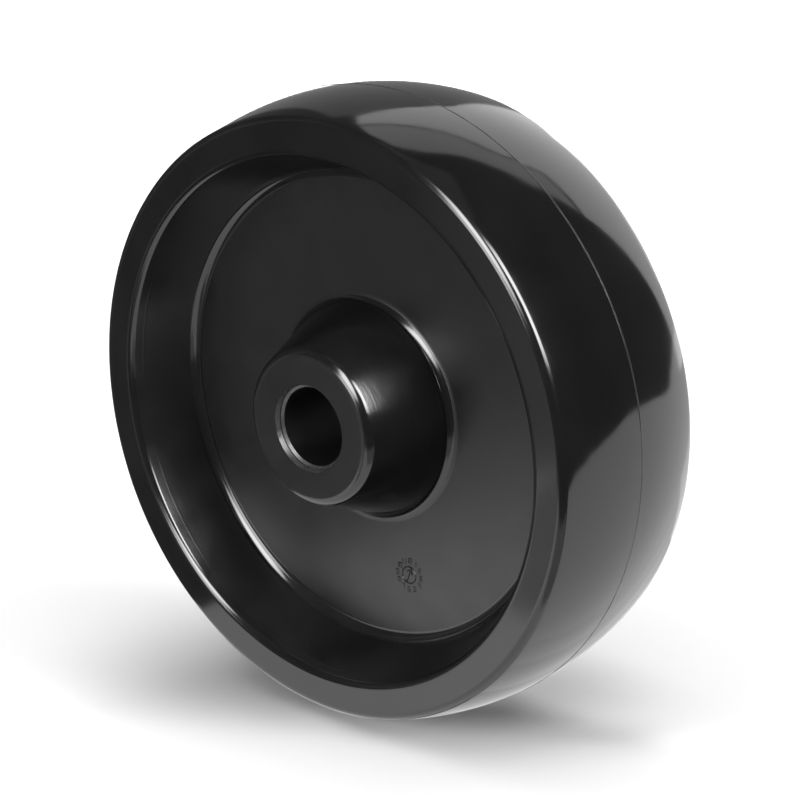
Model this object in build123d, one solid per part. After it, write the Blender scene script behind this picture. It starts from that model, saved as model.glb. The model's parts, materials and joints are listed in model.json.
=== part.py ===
from build123d import *
import os
from math import asin, cos, radians, sin, sqrt, tan

# A heat-resistant wheel, compression moulded in one piece from a phenolic resin.
# It spins about Y, its centre is the origin, and its two sides are alike.

# Tread
tread_diameter = 160.0
tread_width = 50.0
crown_radius = 80.0
tread_edge_radius = 2.3

# Ridge that the mould's joint leaves round the middle of the tread
ridge_width = 0.5
ridge_height = 0.12

# Rim: its side faces are flat, and its thickness runs from the tread to where the sloping wall meets them
rim_thickness = 12.9
lip_radius = 2.0
recess_draft = 20.5

# Web: the plain disc that joins the rim to the hub
web_thickness = 15.0
rim_root_radius = 3.0
hub_root_radius = 3.0

# Hub: a cone each side of the web, with a flat face that runs against the fork
hub_length = 58.0
hub_face_diameter = 38.9
hub_draft = 21.0
hub_edge_radius = 2.8

# Bore for the axle: each mouth is a short taper, with a small bevel between its foot and the bore
bore_diameter = 20.0
mouth_step = 0.7
mouth_bevel_depth = 0.5
mouth_taper_depth = 1.5
mouth_taper = 18.0


def on_crown(y):
    """Radius of the crowned tread at a distance y from the mid-plane."""
    return tread_diameter / 2 - crown_radius + sqrt(crown_radius**2 - y**2)


def half_section():
    """Half of the wheel's section: x is the radius, and y runs from the mid-plane out to the front."""
    face_y = tread_width / 2
    web_y = web_thickness / 2
    hub_y = hub_length / 2
    bore_r = bore_diameter / 2
    ridge_y = ridge_width / 2
    crown_centre = tread_diameter / 2 - crown_radius

    # The rounded edge lies inside the crown's circle, and touches it and the rim's face
    edge_centre_y = face_y - tread_edge_radius
    to_edge_centre = crown_radius - tread_edge_radius
    edge_angle = asin(edge_centre_y / to_edge_centre)
    edge_centre_r = crown_centre + to_edge_centre * cos(edge_angle)
    shoulder = (crown_centre + crown_radius * cos(edge_angle), crown_radius * sin(edge_angle))
    edge_middle_angle = (edge_angle + radians(90)) / 2
    edge_middle = (
        edge_centre_r + tread_edge_radius * cos(edge_middle_angle),
        edge_centre_y + tread_edge_radius * sin(edge_middle_angle),
    )
    rim_face_outer = (edge_centre_r, face_y)

    crown_middle_y = (ridge_y + shoulder[1]) / 2
    mouth = (tread_diameter / 2 - rim_thickness, face_y)
    wall_slope = tan(radians(recess_draft))
    recess_root = (mouth[0] - (face_y - web_y) * wall_slope, web_y)
    hub_slope = tan(radians(hub_draft))
    hub_mouth = (hub_face_diameter / 2, hub_y)
    hub_root = (hub_mouth[0] + (hub_y - web_y) * hub_slope, web_y)
    taper_foot = (bore_r + mouth_step, hub_y - mouth_taper_depth)
    taper_mouth = (taper_foot[0] + mouth_taper_depth * tan(radians(mouth_taper)), hub_y)
    bore_end = (bore_r, taper_foot[1] - mouth_bevel_depth)

    with BuildSketch() as section:
        with BuildLine():
            Line((bore_r, 0), (tread_diameter / 2 + ridge_height, 0))
            Line((tread_diameter / 2 + ridge_height, 0), (on_crown(ridge_y), ridge_y))
            ThreePointArc((on_crown(ridge_y), ridge_y), (on_crown(crown_middle_y), crown_middle_y), shoulder)
            ThreePointArc(shoulder, edge_middle, rim_face_outer)
            Polyline(rim_face_outer, mouth, recess_root, hub_root, hub_mouth)
            Polyline(hub_mouth, taper_mouth, taper_foot, bore_end, (bore_r, 0))
        make_face()
        for corner, radius in (
            (mouth, lip_radius),
            (recess_root, rim_root_radius),
            (hub_root, hub_root_radius),
            (hub_mouth, hub_edge_radius),
        ):
            fillet(section.vertices().sort_by_distance(corner)[0], radius)
    return section.sketch


def wheel():
    """The whole wheel: the half section and its mirror image, turned about the axle."""
    front = half_section()
    full = front + mirror(front, about=Plane.XZ)
    return revolve(full, axis=Axis.Y)


os.makedirs("parts", exist_ok=True)
solid = wheel()
export_step(solid, "parts/wheel.step")
print("wheel: volume", round(solid.volume), "mm3, faces", len(solid.faces()))
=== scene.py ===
import json
from math import asin, atan2, cos, hypot, pi, radians, sin, sqrt, tan

import bpy
from mathutils import Euler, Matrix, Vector, noise


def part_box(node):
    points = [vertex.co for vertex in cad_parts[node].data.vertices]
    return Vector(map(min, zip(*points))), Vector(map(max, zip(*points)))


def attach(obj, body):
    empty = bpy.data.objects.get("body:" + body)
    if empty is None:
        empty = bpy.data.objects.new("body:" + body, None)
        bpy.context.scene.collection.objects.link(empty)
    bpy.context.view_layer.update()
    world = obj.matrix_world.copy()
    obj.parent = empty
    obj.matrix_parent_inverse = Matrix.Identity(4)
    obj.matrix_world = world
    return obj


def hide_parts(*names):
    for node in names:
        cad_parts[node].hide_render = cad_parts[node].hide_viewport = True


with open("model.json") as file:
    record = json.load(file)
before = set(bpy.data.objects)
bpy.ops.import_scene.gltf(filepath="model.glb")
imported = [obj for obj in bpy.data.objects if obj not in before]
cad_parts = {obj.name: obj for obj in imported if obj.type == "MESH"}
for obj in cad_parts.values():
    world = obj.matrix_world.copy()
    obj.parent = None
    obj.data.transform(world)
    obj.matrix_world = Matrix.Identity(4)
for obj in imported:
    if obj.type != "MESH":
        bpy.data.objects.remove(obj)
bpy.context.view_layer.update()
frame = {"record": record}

# The wheel's sizes are in millimetres, as in the solid, and become metres when a mesh is made
MM = 0.001

# Section, the same as the solid's
face_y = 25.0
web_y = 7.5
tread_edge_radius = 2.3
ridge_width = 0.5
ridge_height = 0.12
rim_thickness = 12.9
lip_radius = 2.0
recess_draft = radians(20.5)
rim_root_radius = 3.0
hub_root_radius = 3.0
hub_face_radius = 19.45
hub_draft = radians(21.0)
hub_edge_radius = 2.8
mouth_step = 0.7
mouth_bevel_depth = 0.5
mouth_taper_depth = 1.5
mouth_taper = radians(18.0)

# Sizes of the section that the frame gives
wheel_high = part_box("wheel")[1]
tread_radius = round(wheel_high.x / MM, 2) - ridge_height
hub_y = round(wheel_high.y / MM, 2)
bore_radius = next(m["dims"]["r_mm"] for m in frame["record"]["mounts"] if m["name"] == "bore")

# Fine marks of the mould: a line round the recess's wall, and a land at the foot of the bore's taper
witness_depth = 2.3
witness_height = 0.02
witness_width = 0.44
mouth_land = 0.32

# The ridge is uneven. Its height is a share of the full one: a mean and two waves of noise, each wave as
# (swing, fineness, seed), and never below the least or above 1.
ridge_mean = 0.8
ridge_least = 0.12
ridge_waves = ((0.5, 14.0, 3.0), (0.5, 60.0, 7.0))

# The mould's dial, which stands proud of the web's front. Its centre is (x, z), and the pointer's reach and
# its barbs' are shares of the ring's radius.
dial_centre = (13.9, -41.4)
dial_ring = 2.2
dial_ring_parts = 32
dial_numbers = 3.85
months = 12
pointer_turn = radians(20)
pointer_reach = 0.72
barb_reach = 0.5
barb_turn = 0.8
dial_stroke = 0.5
digit_stroke = 0.35
digit_height, digit_width, digit_pitch = 1.25, 0.66, 1.0

# A stroke of the dial is roofed: its reach to each side at foot and crest, and its height, are shares of its
# width. Its foot is sunk in the web.
stroke_foot, stroke_crest, stroke_steepness = 0.5, 0.06, 0.55
stroke_sink = 0.05

# How finely the mesh follows the section, and how far from its ends a flat stretch has its two extra rings
columns = 448
arc_step = radians(7)
least_arc_steps = 4
crown_steps = 14
edge_steps = 12
support = 0.15

# How many steps of each of the hub's two fillets have the finish of the flat face beside them
grain_steps = 3


def sweep(centre, radius, start, end, steps):
    """Points of an arc, as (radius from the axle, y)."""
    angles = [start + (end - start) * i / steps for i in range(steps + 1)]
    return [(centre[0] + radius * cos(a), centre[1] + radius * sin(a)) for a in angles]


def along(a, b, distance):
    """The point at that distance from a towards b."""
    length = hypot(b[0] - a[0], b[1] - a[1])
    t = distance / length
    return (a[0] + (b[0] - a[0]) * t, a[1] + (b[1] - a[1]) * t)


def fillet(before, corner, after, radius):
    """Points of the arc that rounds a corner between two straight lines."""
    u = Vector((before[0] - corner[0], before[1] - corner[1])).normalized()
    v = Vector((after[0] - corner[0], after[1] - corner[1])).normalized()
    half = u.angle(v) / 2
    middle = (u + v).normalized() * (radius / sin(half))
    centre = (corner[0] + middle.x, corner[1] + middle.y)
    reach = radius / tan(half)
    first, last = along(corner, before, reach), along(corner, after, reach)
    start = atan2(first[1] - centre[1], first[0] - centre[0])
    end = atan2(last[1] - centre[1], last[0] - centre[0])
    turn = (end - start + pi) % (2 * pi) - pi
    steps = max(least_arc_steps, round(abs(turn) / arc_step))
    return sweep(centre, radius, start, start + turn, steps)


def flat(a, b):
    """Points of a straight stretch, with one near each end that keeps its shading flat."""
    return [a, along(a, b, support), along(b, a, support), b]


def on_crown(y):
    """Radius of the crowned tread at y."""
    return sqrt(tread_radius**2 - y**2)


def front_section():
    """The front half's section from the tread's middle to the bore's, each stretch as (name, points)."""
    ridge_y = ridge_width / 2
    edge_y = face_y - tread_edge_radius
    to_edge = tread_radius - tread_edge_radius
    edge_angle = asin(edge_y / to_edge)
    edge_r = to_edge * cos(edge_angle)
    ridge_angle = asin(ridge_y / tread_radius)

    slope = tan(recess_draft)
    mouth = (tread_radius - rim_thickness, face_y)
    rim_root = (mouth[0] - (face_y - web_y) * slope, web_y)
    hub_mouth = (hub_face_radius, hub_y)
    hub_root = (hub_mouth[0] + (hub_y - web_y) * tan(hub_draft), web_y)
    taper_foot = (bore_radius + mouth_step, hub_y - mouth_taper_depth)
    taper_mouth = (taper_foot[0] + mouth_taper_depth * tan(mouth_taper), hub_y)
    bore_end = (bore_radius, taper_foot[1] - mouth_bevel_depth)
    land_top = (taper_foot[0], taper_foot[1] + mouth_land)

    ridge = [(tread_radius + ridge_height, 0), (on_crown(ridge_y), ridge_y)]
    crown = sweep((0, 0), tread_radius, ridge_angle, edge_angle, crown_steps)
    edge = sweep((edge_r, edge_y), tread_edge_radius, edge_angle, pi / 2, edge_steps)
    lip = fillet(edge[-1], mouth, rim_root, lip_radius)
    root = fillet(mouth, rim_root, hub_root, rim_root_radius)
    foot = fillet(rim_root, hub_root, hub_mouth, hub_root_radius)
    brow = fillet(hub_root, hub_mouth, taper_mouth, hub_edge_radius)

    # The line on the recess's wall stands proud of it, along the wall's normal
    line = along(lip[-1], root[0], witness_depth)
    before, after = along(line, lip[-1], witness_width / 2), along(line, root[0], witness_width / 2)
    crest = (line[0] - witness_height * cos(recess_draft), line[1] + witness_height * sin(recess_draft))

    return [
        ("ridge", ridge),
        ("tread", crown),
        ("shoulder", edge),
        ("rim", flat(edge[-1], lip[0])),
        ("lip", lip),
        ("wall", flat(lip[-1], before)),
        ("line", [before, crest, after]),
        ("wall", flat(after, root[0])),
        ("root", root),
        ("web", flat(root[-1], foot[0])),
        ("web", foot[:grain_steps + 1]),
        ("foot", foot[grain_steps:]),
        ("cone", flat(foot[-1], brow[0])),
        ("brow", brow[:-grain_steps]),
        ("brow_face", brow[-grain_steps - 1:]),
        ("hub", flat(brow[-1], taper_mouth)),
        ("mouth", [taper_mouth, land_top]),
        ("land", [land_top, taper_foot]),
        ("mouth", [taper_foot, bore_end]),
        ("bore", flat(bore_end, (bore_radius, 0))),
    ]


# Finish of each stretch of the section
finishes = {
    "ridge": "flash",
    "tread": "tread",
    "shoulder": "edge",
    "rim": "rim",
    "lip": "edge",
    "wall": "recess",
    "line": "recess",
    "root": "root",
    "web": "web",
    "foot": "edge",
    "cone": "hub",
    "brow": "edge",
    "brow_face": "hub_face",
    "hub": "hub_face",
    "mouth": "mouth",
    "land": "bore",
    "bore": "bore",
}

# Stretches that end in a sharp edge
sharp_after = {"ridge", "hub", "mouth", "land"}


def full_section():
    """The section's rings once round, each as (r, y, stretch of the band after it, whether it is sharp)."""
    front = []
    for name, points in front_section():
        for i, (r, y) in enumerate(points[:-1]):
            sharp = i == 0 and bool(front) and front[-1][2] in sharp_after
            front.append((r, y, name, sharp))
    # The back half is the front's mirror image, so its rings and bands come in the opposite order
    back = [(r, -y, before[2], sharp) for before, (r, y, _, sharp) in zip(front, front[1:])]
    return front + back[::-1]


def ripple(angle, fineness, seed):
    """Smooth noise round the wheel, from -1 to 1."""
    return noise.noise(Vector((cos(angle) * fineness, sin(angle) * fineness, seed)))


def ridge_share(angle):
    """How much of its full height the ridge has at that angle round the wheel."""
    share = ridge_mean
    for swing, fineness, seed in ridge_waves:
        share += swing * ripple(angle, fineness, seed)
    return max(ridge_least, min(1.0, share))


def revolved(rings):
    """The section turned about Y: its vertices in metres, and its faces, a band of them after each ring."""
    vertices = []
    for r, y, name, _ in rings:
        for c in range(columns):
            angle = 2 * pi * c / columns
            radius = r
            if name == "ridge" and r > tread_radius:
                radius = tread_radius + ridge_height * ridge_share(angle)
            vertices.append((radius * cos(angle) * MM, y * MM, radius * sin(angle) * MM))
    faces = []
    for i in range(len(rings)):
        j = (i + 1) % len(rings)
        for c in range(columns):
            d = (c + 1) % columns
            faces.append((i * columns + c, i * columns + d, j * columns + d, j * columns + c))
    return vertices, faces


def bar(a, b, width):
    """A raised stroke on the web's front, from a to b as (x, z): its corners in metres, and its faces."""
    run = Vector((b[0] - a[0], b[1] - a[1])).normalized() * width
    side = Vector((-run.y, run.x))
    corners = []
    for reach, height in ((stroke_foot, -stroke_sink), (stroke_crest, width * stroke_steepness)):
        for end, sign in ((a, -1), (b, 1)):
            for hand in (-1, 1):
                x = end[0] + (run.x * sign + side.x * hand) * reach
                z = end[1] + (run.y * sign + side.y * hand) * reach
                corners.append((x * MM, -(web_y + height) * MM, z * MM))
    # 0 to 3 are the foot and 4 to 7 the crest, each as start left, start right, end left, end right
    return corners, [(4, 5, 7, 6), (0, 1, 5, 4), (2, 6, 7, 3), (0, 4, 6, 2), (1, 3, 7, 5)]


# The seven segments that plain digits are made of. x is in digit widths and z in halves of a digit's height.
left, right, top, middle, bottom = -0.5, 0.5, 1, 0, -1
segments = {
    "a": ((left, top), (right, top)),
    "b": ((right, top), (right, middle)),
    "c": ((right, middle), (right, bottom)),
    "d": ((left, bottom), (right, bottom)),
    "e": ((left, middle), (left, bottom)),
    "f": ((left, top), (left, middle)),
    "g": ((left, middle), (right, middle)),
}

# Each digit's segments
digits = {
    "0": "abcdef",
    "1": "bc",
    "2": "abged",
    "3": "abgcd",
    "4": "fgbc",
    "5": "afgcd",
    "6": "afgcde",
    "7": "abc",
    "8": "abcdefg",
    "9": "abcdfg",
}


def numeral(text, centre):
    """Strokes of a plain number, as (from, to, width)."""
    strokes = []
    for i, digit in enumerate(text):
        shift = centre[0] + (i - (len(text) - 1) / 2) * digit_pitch
        for key in digits[digit]:
            ends = [(shift + x * digit_width, centre[1] + z * digit_height / 2) for x, z in segments[key]]
            strokes.append((*ends, digit_stroke))
    return strokes


def on_dial(radius, turn):
    """A place on the dial, at that turn clockwise from its top."""
    return (dial_centre[0] + radius * sin(turn), dial_centre[1] + radius * cos(turn))


def dial_strokes():
    """The mould's dial: a ring with a pointer in it, and the months' numbers outside it."""
    strokes = []
    for i in range(dial_ring_parts):
        ends = [on_dial(dial_ring, 2 * pi * k / dial_ring_parts) for k in (i, i + 1)]
        strokes.append((*ends, dial_stroke))
    for month in range(1, months + 1):
        strokes += numeral(str(month), on_dial(dial_numbers, 2 * pi * month / months))
    tip = on_dial(dial_ring * pointer_reach, pointer_turn)
    tail = on_dial(dial_ring * pointer_reach, pointer_turn + pi)
    barbs = [on_dial(dial_ring * barb_reach, pointer_turn + turn) for turn in (-barb_turn, barb_turn)]
    for end in [tail] + barbs:
        strokes.append((end, tip, dial_stroke))
    return strokes


def wheel_mesh():
    """The wheel's whole surface: its section turned about Y, and the dial's strokes on the web's front."""
    rings = full_section()
    vertices, faces = revolved(rings)
    revolved_faces = len(faces)
    for start, end, width in dial_strokes():
        corners, sides = bar(start, end, width)
        faces += [tuple(len(vertices) + i for i in side) for side in sides]
        vertices += corners
    stroke_faces = len(faces) - revolved_faces

    mesh = bpy.data.meshes.new("wheel_surface")
    mesh.from_pydata(vertices, [], faces)
    mesh.polygons.foreach_set("use_smooth", [True] * revolved_faces + [False] * stroke_faces)

    names = list(dict.fromkeys(finishes.values())) + ["dial"]
    for name in names:
        mesh.materials.append(materials[name])
    slots = []
    for _, _, name, _ in rings:
        slots += [names.index(finishes[name])] * columns
    slots += [names.index("dial")] * stroke_faces
    mesh.polygons.foreach_set("material_index", slots)

    sharp_rings = {i for i, ring in enumerate(rings) if ring[3]}
    sharp = []
    for edge in mesh.edges:
        a, b = [vertex // columns for vertex in edge.vertices]
        sharp.append(a == b and a in sharp_rings)
    attribute = mesh.attributes.new("sharp_edge", "BOOLEAN", "EDGE")
    attribute.data.foreach_set("value", sharp)
    mesh.validate()
    mesh.update()
    return mesh


# Materials

# The resin's index of refraction, and a lower one where the core was turned
resin_ior = 1.55
turned_ior = 1.48

# Most of a noise texture's values lie between these two
noise_low, noise_high = 0.3, 0.7


class Shader:
    """A node material on one Principled shader, with object coordinates at hand.

    base and roughness hold where tone and gloss don't vary them.
    """

    def __init__(self, name, base, roughness, ior=resin_ior):
        self.material = bpy.data.materials.new(name)
        self.material.use_nodes = True
        self.nodes = self.material.node_tree.nodes
        self.links = self.material.node_tree.links
        self.principled = next(n for n in self.nodes if n.type == "BSDF_PRINCIPLED")
        self.principled.inputs["Base Color"].default_value = (*base, 1)
        self.principled.inputs["Roughness"].default_value = roughness
        self.principled.inputs["IOR"].default_value = ior
        self.coordinates = self.nodes.new("ShaderNodeTexCoord")

    def noise(self, scale, detail, stretch=(1, 1, 1), rough=0.5):
        """Noise over the object. stretch below 1 draws it out along that axis."""
        mapping = self.nodes.new("ShaderNodeMapping")
        mapping.inputs["Scale"].default_value = stretch
        self.links.new(self.coordinates.outputs["Object"], mapping.inputs["Vector"])
        texture = self.nodes.new("ShaderNodeTexNoise")
        texture.inputs["Scale"].default_value = scale
        texture.inputs["Detail"].default_value = detail
        texture.inputs["Roughness"].default_value = rough
        self.links.new(mapping.outputs["Vector"], texture.inputs["Vector"])
        return texture.outputs["Fac"]

    def spread(self, value, low, high):
        """Noise that is spread out from low to high."""
        node = self.nodes.new("ShaderNodeMapRange")
        node.inputs["From Min"].default_value = noise_low
        node.inputs["From Max"].default_value = noise_high
        node.inputs["To Min"].default_value = low
        node.inputs["To Max"].default_value = high
        self.links.new(value, node.inputs["Value"])
        return node.outputs["Result"]

    def tone(self, value, dark, light):
        """Base colour from dark to light, as the noise rises."""
        node = self.nodes.new("ShaderNodeMix")
        node.data_type = "RGBA"
        node.inputs["A"].default_value = (*dark, 1)
        node.inputs["B"].default_value = (*light, 1)
        self.links.new(self.spread(value, 0, 1), node.inputs["Factor"])
        self.links.new(node.outputs["Result"], self.principled.inputs["Base Color"])

    def gloss(self, value, low, high):
        """Roughness from low to high, as the noise rises."""
        self.links.new(self.spread(value, low, high), self.principled.inputs["Roughness"])

    def bump(self, value, height):
        """Raises the surface by the noise, up to height in millimetres, on top of any bump before it."""
        node = self.nodes.new("ShaderNodeBump")
        node.inputs["Distance"].default_value = height * MM
        self.links.new(value, node.inputs["Height"])
        previous = self.principled.inputs["Normal"].links
        if previous:
            self.links.new(previous[0].from_socket, node.inputs["Normal"])
        self.links.new(node.outputs["Normal"], self.principled.inputs["Normal"])


# The resin's blacks, from the deepest, and the greys where the flash was broken off. One black is partly
# painted light.
deep_black = (0.0008, 0.0008, 0.0008)
web_black = (0.001, 0.001, 0.001)
black = (0.0016, 0.0016, 0.0017)
web_grey = (0.0022, 0.0022, 0.0023)
grey_black = (0.0030, 0.0030, 0.0032)
# Partly painted fill light: a black lifted above the tread's for the recess, its root and the hub, which see
# little light
painted_fill_black = (0.0042, 0.0042, 0.0044)
face_black = (0.005, 0.005, 0.005)
face_grey = (0.0068, 0.0068, 0.0071)
trim_black = (0.006, 0.006, 0.006)
trim_grey = (0.026, 0.026, 0.026)

# How high the orange peel of a polished surface stands, in millimetres
orange_peel = 0.004


def polished(name, roughness, tones=(black, grey_black)):
    """Resin moulded against polished steel: a hard gloss with a very slight orange peel."""
    shader = Shader(name, tones[0], roughness[0])
    shader.tone(shader.noise(scale=55, detail=3), *tones)
    shader.gloss(shader.noise(scale=90, detail=4), *roughness)
    shader.bump(shader.noise(scale=260, detail=2), orange_peel)
    return shader.material


def grained(name, roughness, grain, tones):
    """Resin moulded against blasted steel: satin, with a fine grain of that height in millimetres."""
    shader = Shader(name, tones[0], roughness[0])
    shader.tone(shader.noise(scale=70, detail=3), *tones)
    shader.gloss(shader.noise(scale=120, detail=4), *roughness)
    shader.bump(shader.noise(scale=2600, detail=3, rough=0.65), grain)
    return shader.material


def turned(name, roughness, marks, grain, tones):
    """Resin moulded against a turned core, whose marks run round the axle and spread highlights along it."""
    shader = Shader(name, base=grey_black, roughness=0.14, ior=turned_ior)
    shader.tone(shader.noise(scale=55, detail=3), *tones)
    shader.gloss(shader.noise(scale=90, detail=4), *roughness)
    shader.bump(shader.noise(scale=2200, detail=2, stretch=(0.06, 1, 0.06), rough=0.6), marks)
    shader.bump(shader.noise(scale=1100, detail=3), grain)
    return shader.material


def trimmed(name, roughness, grain, tones):
    """Where the flash was broken off: greyer, matt and uneven."""
    shader = Shader(name, base=grey_black, roughness=0.4)
    shader.tone(shader.noise(scale=700, detail=4), *tones)
    shader.gloss(shader.noise(scale=500, detail=4), *roughness)
    shader.bump(shader.noise(scale=900, detail=4, rough=0.6), grain)
    return shader.material


# Each finish, with the range of its roughness
materials = {
    "tread": polished("phenolic_tread", (0.07, 0.12)),
    "flash": grained("phenolic_flash", (0.3, 0.45), grain=0.01, tones=(deep_black, black)),
    "dial": polished("phenolic_dial", (0.1, 0.16), tones=(deep_black, black)),
    "rim": polished("phenolic_rim", (0.1, 0.15)),
    # The recess, its root and the hub take the lifted black, which is partly painted fill light
    "recess": polished("phenolic_recess", (0.17, 0.23), tones=(black, painted_fill_black)),
    "root": polished("phenolic_root", (0.1, 0.14), tones=(black, painted_fill_black)),
    "edge": polished("phenolic_edge", (0.12, 0.16)),
    "web": grained("phenolic_web", (0.3, 0.36), grain=0.014, tones=(web_black, web_grey)),
    "hub": turned("phenolic_hub", (0.15, 0.22), marks=0.013, grain=0.008, tones=(black, painted_fill_black)),
    "hub_face": grained("phenolic_hub_face", (0.16, 0.2), grain=0.006, tones=(face_black, face_grey)),
    "mouth": trimmed("phenolic_mouth", (0.26, 0.4), grain=0.045, tones=(trim_black, trim_grey)),
    "bore": grained("phenolic_bore", (0.3, 0.4), grain=0.006, tones=(deep_black, black)),
}

wheel = bpy.data.objects.new("wheel_moulding", wheel_mesh())
bpy.context.scene.collection.objects.link(wheel)
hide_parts("wheel")
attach(wheel, "root")


# The stage: floor, light and camera

# The camera's place in metres, its tilt up from straight down, its turn and its lens. The small shift is as
# much as the photograph's framing needs.
camera_place = (0.46622, -0.52057, 0.24100)
camera_tilt = radians(70.96)
camera_turn = radians(41.58)
lens_length = 132.55
lens_shift = (-0.0006, 0.0004)
sensor_width = 36.0

# The world's brightness as the camera sees it past the floor, and as it lights the wheel and the floor
world_seen = 1.0
world_light = 0.10

# A light panel's distance from the wheel in metres, and its fully bright middle as a share of its size
panel_distance = 8.0
core_share = 0.5


def glow(name, radiance, edge=1.0):
    """A material that only gives light, and only from its front.

    edge is how bright its border is against its middle.
    """
    material = bpy.data.materials.new(name)
    material.use_nodes = True
    nodes, links = material.node_tree.nodes, material.node_tree.links
    nodes.remove(next(n for n in nodes if n.type == "BSDF_PRINCIPLED"))
    emission = nodes.new("ShaderNodeEmission")
    emission.inputs["Strength"].default_value = radiance
    if edge < 1.0:
        middle = nodes.new("ShaderNodeAttribute")
        middle.attribute_name = "middle"
        fade = nodes.new("ShaderNodeMapRange")
        fade.inputs["To Min"].default_value = radiance * edge
        fade.inputs["To Max"].default_value = radiance
        links.new(middle.outputs["Fac"], fade.inputs["Value"])
        links.new(fade.outputs["Result"], emission.inputs["Strength"])
    geometry = nodes.new("ShaderNodeNewGeometry")
    clear = nodes.new("ShaderNodeBsdfTransparent")
    sides = nodes.new("ShaderNodeMixShader")
    output = next(n for n in nodes if n.type == "OUTPUT_MATERIAL")
    links.new(geometry.outputs["Backfacing"], sides.inputs["Fac"])
    links.new(emission.outputs["Emission"], sides.inputs[1])
    links.new(clear.outputs["BSDF"], sides.inputs[2])
    links.new(sides.outputs["Shader"], output.inputs["Surface"])
    return material


def direction(azimuth, elevation):
    """Unit vector from the wheel. Azimuth 0 is the way the front faces, -Y, and 90 is +X."""
    a, e = radians(azimuth), radians(elevation)
    return Vector((sin(a) * cos(e), -cos(a) * cos(e), sin(e)))


def face_towards(mesh, way):
    """Turns the mesh's face over if it looks away from that direction."""
    mesh.update()
    if mesh.polygons[0].normal.dot(way) < 0:
        mesh.flip_normals()


# The panels light the wheel alone, and the floor has lights of its own
wheel_only = bpy.data.collections.new("wheel_only")
wheel_only.objects.link(wheel)


def panel(name, outline, radiance, distance=panel_distance, edge=1.0):
    """A flat light panel that faces the wheel and that the camera doesn't see.

    outline is its corners as (azimuth, elevation) seen from the wheel, and edge is as for glow.
    """
    ways = [direction(a, e) for a, e in outline]
    facing = sum(ways, Vector()).normalized()
    rim = [way * (distance / way.dot(facing)) for way in ways]
    centre = sum(rim, Vector()) / len(rim)
    core = [centre + (corner - centre) * core_share for corner in rim]
    n = len(rim)
    faces = [(i, (i + 1) % n, n + (i + 1) % n, n + i) for i in range(n)] + [tuple(range(n, 2 * n))]
    mesh = bpy.data.meshes.new(name)
    mesh.from_pydata(rim + core, [], faces)
    middle = mesh.attributes.new("middle", "FLOAT", "POINT")
    middle.data.foreach_set("value", [0.0] * n + [1.0] * n)
    face_towards(mesh, -facing)
    mesh.materials.append(glow(name, radiance, edge))
    light = bpy.data.objects.new(name, mesh)
    light.visible_camera = light.visible_shadow = False
    light.light_linking.receiver_collection = wheel_only
    light.light_linking.blocker_collection = wheel_only
    bpy.context.scene.collection.objects.link(light)


floor_z = -(tread_radius + ridge_height) * MM


def ground(name, corners, lift=0.0):
    """A flat sheet, lift above the floor. Its corners are places under the wheel, (x, y) in millimetres."""
    mesh = bpy.data.meshes.new(name)
    places = [(x * MM, y * MM, floor_z + lift * MM) for x, y in corners]
    mesh.from_pydata(places, [], [tuple(range(len(corners)))])
    face_towards(mesh, Vector((0, 0, 1)))
    sheet = bpy.data.objects.new(name, mesh)
    bpy.context.scene.collection.objects.link(sheet)
    return sheet


# How much the grey of a plain matt surface wanders from its mean
mottle = 0.01


def matt(name, albedo):
    """A plain matt surface of that grey."""
    shader = Shader(name, base=(albedo,) * 3, roughness=0.8, ior=1.3)
    shader.tone(shader.noise(scale=3, detail=2), (albedo * (1 - mottle),) * 3, (albedo * (1 + mottle),) * 3)
    return shader.material


# The floor reaches well past the picture's edges, and its own three soft lights set how bright it is
floor_reach = 9000
floor_corners = [(x * floor_reach, y * floor_reach) for x, y in ((-1, -1), (1, -1), (1, 1), (-1, 1))]
floor = ground("floor", floor_corners)
floor.data.materials.append(matt("floor", albedo=0.2))
floor.visible_glossy = floor.visible_shadow = False

# What the wheel's gloss sees of the studio's table: each sheet's brightness, and its corners. A sheet lies a
# little above the one before it. Some sheets have the wheel's shadow on the table painted into their
# brightness.
sheet_gap = 0.1
table = {
    "table_front": (1.45, [
        (-75, -18), (-75, -205), (-58, -242), (60, -222), (74, -200), (74, -100), (112, -22),
    ]),
    "table_gap": (0.3, [(-70, -202), (-54, -160), (-12, -113), (2, -112), (2, -234), (-58, -242)]),
    "table_painted_shade_corner": (0.68, [
        # Painted shade: the table's right front corner is dimmed for the partial shadow that falls there
        (74, -100), (74, -205), (98, -192), (150, -142), (198, -85), (240, -20), (112, -22),
    ]),
    "table_right": (1.45, [
        (74, -20), (112, -22), (250, 8), (330, 54), (400, 100), (450, 145), (515, 190), (637, 338),
        (728, 478), (900, 720), (930, 880), (751, 905), (562, 825), (408, 733), (356, 750), (386, 902),
        (440, 1100), (600, 2171), (700, 3000), (150, 3000), (90, 620), (76, 190),
    ]),
    # Painted shadow: four strips under and behind the wheel, dimmer the nearer they lie to its middle, stand
    # for the wheel's shadow on the table
    "table_painted_shadow_edge_right": (1.32, [(60, -18), (75, -20), (78, 195), (62, 195)]),
    "table_painted_shadow_edge_left": (1.14, [(44, -18), (61, -18), (63, 195), (46, 195)]),
    "table_painted_shadow_right": (0.92, [(26, -16), (45, -16), (48, 140), (28, 130)]),
    "table_painted_shadow_left": (0.72, [(8, -16), (27, -16), (29, 125), (8, 125)]),
    "sweep_near": (2.4, [(-52, -14), (-165, -14), (-165, 220), (-60, 120)]),
    "sweep_left": (3.3, [(-165, -14), (-335, -14), (-2500, 900), (-2500, 3000), (-165, 3000)]),
    "sweep_back": (2.0, [
        (-165, 220), (-60, 120), (50, 120), (90, 180), (95, 700), (150, 3000), (-165, 3000),
    ]),
}
for order, (name, (radiance, corners)) in enumerate(table.items()):
    sheet = ground(name, corners, lift=sheet_gap * order)
    sheet.data.materials.append(glow(name, radiance))
    sheet.visible_camera = sheet.visible_diffuse = sheet.visible_shadow = False

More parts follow.
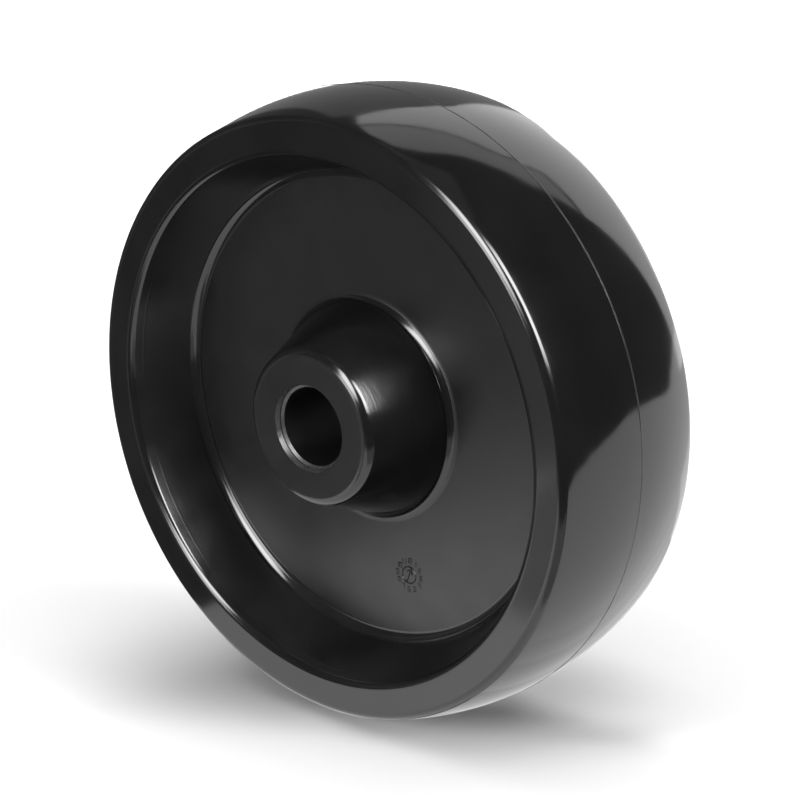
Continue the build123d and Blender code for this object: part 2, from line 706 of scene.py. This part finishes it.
# What the gloss sees of the studio round the table. Where two panels overlap, one stands nearer.
panel(
    "softbox_right", radiance=21.0, edge=0.3,
    outline=[(64, 19), (101, 19), (103, 38), (111, 59), (50, 59), (50, 48), (62, 38)],
)
panel(
    "softbox_left", radiance=17.5, edge=0.3,
    outline=[
        (2, 12), (18, 16), (28, 26), (34, 40), (30, 54), (24, 64), (3, 64), (-4, 48), (-7, 34), (-11, 24),
    ],
)
panel(
    "softbox_left_low", radiance=10.0, edge=0.5,
    outline=[(-21, 3), (-13, -4), (4, 10), (2, 12), (-11, 24), (-15, 24)],
)
panel(
    "backdrop", radiance=1.6, distance=9.0,
    outline=[
        (168.5, -7), (168.5, 30), (181, 36), (185, 42), (189, 45), (193, 46.3), (200, 47), (230, 46.8),
        (229, 41), (221, 36.8), (215.5, 33), (211.5, 27), (211, -7),
    ],
)
panel(
    "backdrop_top", radiance=1.05, distance=9.0,
    outline=[
        (190, 46.6), (193, 47.3), (200, 47.9), (230, 47.9), (230, 55), (221, 62), (203, 62), (190, 56),
    ],
)
panel(
    "backdrop_side", radiance=1.05, distance=9.1,
    outline=[(168.5, 31.5), (181, 37.5), (185, 43), (190, 46.6), (190, 56), (180, 51), (172, 44)],
)
panel(
    "backdrop_foot", radiance=3.0, distance=8.5,
    outline=[(177, -7), (178, 6), (185, 11), (203, 12), (210, 4), (212, -7)],
)
panel(
    "panel_left", radiance=0.15,
    outline=[(-62, -12), (-48, -28), (-30, -28), (-24, -12), (-28, 12), (-30, 50), (-58, 50)],
)
panel("panel_front", radiance=0.32, distance=7.9, outline=[(-41, -32), (-15, -32), (-18, -8), (-40, -8)])
panel("panel_left_dim", radiance=0.16, distance=8.2, outline=[(-76, -36), (-48, -36), (-58, 52), (-74, 52)])
panel("panel_top", radiance=0.25, outline=[(a, 66) for a in range(0, 360, 45)])
panel(
    "panel_back", radiance=0.33, distance=8.2,
    outline=[(211.7, -3), (234, -3), (234, 38), (229, 40.3), (221, 36), (215.5, 32.2), (212, 26)],
)

# Three soft lights for the floor alone, each as azimuth, elevation and width in degrees, and strength
floor_lights = {
    "floor_light_top": (0, 88, 100, 19.2),
    "floor_light_right": (100, 8, 30, 25.5),
    "floor_light_left": (-25, 8, 30, 17.0),
}
floor_only = bpy.data.collections.new("floor_only")
floor_only.objects.link(floor)
for name, (azimuth, elevation, width, strength) in floor_lights.items():
    sun = bpy.data.lights.new(name, "SUN")
    sun.angle = radians(width)
    sun.energy = strength
    lamp = bpy.data.objects.new(name, sun)
    lamp.rotation_euler = direction(azimuth, elevation).to_track_quat("Z", "Y").to_euler()
    lamp.light_linking.receiver_collection = floor_only
    bpy.context.scene.collection.objects.link(lamp)

# Oval flags that only deepen and widen the wheel's shadow on the floor, square to the camera. Each has its
# height above the floor, its centre (to the camera's right and away from it), its length and its width.
flag_corners = 48
flags = {
    "flag": (23.0, (-6.0, 3.0), 150, 68),
    "contact_flag": (8.6, (29.0, -28.9), 85, 16.6),
}
for name, (height, centre, length, width) in flags.items():
    corners = []
    for i in range(flag_corners):
        u = centre[0] + length / 2 * cos(2 * pi * i / flag_corners)
        v = centre[1] + width / 2 * sin(2 * pi * i / flag_corners)
        x = u * cos(camera_turn) - v * sin(camera_turn)
        y = u * sin(camera_turn) + v * cos(camera_turn)
        corners.append((x, y))
    flag = ground(name, corners, lift=height)
    flag.data.materials.append(matt(name, albedo=0.02))
    flag.visible_camera = flag.visible_glossy = flag.visible_diffuse = False

world = bpy.data.worlds.new("studio")
bpy.context.scene.world = world
world.use_nodes = True
world_nodes, world_links = world.node_tree.nodes, world.node_tree.links
dim = next(n for n in world_nodes if n.type == "BACKGROUND")
dim.inputs["Color"].default_value = (1, 1, 1, 1)
dim.inputs["Strength"].default_value = world_light
bright = world_nodes.new("ShaderNodeBackground")
bright.inputs["Color"].default_value = (1, 1, 1, 1)
bright.inputs["Strength"].default_value = world_seen
path = world_nodes.new("ShaderNodeLightPath")
mix = world_nodes.new("ShaderNodeMixShader")
world_output = next(n for n in world_nodes if n.type == "OUTPUT_WORLD")
world_links.new(path.outputs["Is Camera Ray"], mix.inputs["Fac"])
world_links.new(dim.outputs["Background"], mix.inputs[1])
world_links.new(bright.outputs["Background"], mix.inputs[2])
world_links.new(mix.outputs["Shader"], world_output.inputs["Surface"])

camera_data = bpy.data.cameras.new("camera")
camera_data.lens = lens_length
camera_data.shift_x, camera_data.shift_y = lens_shift
camera_data.sensor_width = sensor_width
camera = bpy.data.objects.new("camera", camera_data)
camera.location = camera_place
camera.rotation_euler = Euler((camera_tilt, 0, camera_turn))
bpy.context.scene.collection.objects.link(camera)
bpy.context.scene.camera = camera
bpy.context.scene.view_settings.view_transform = "Standard"
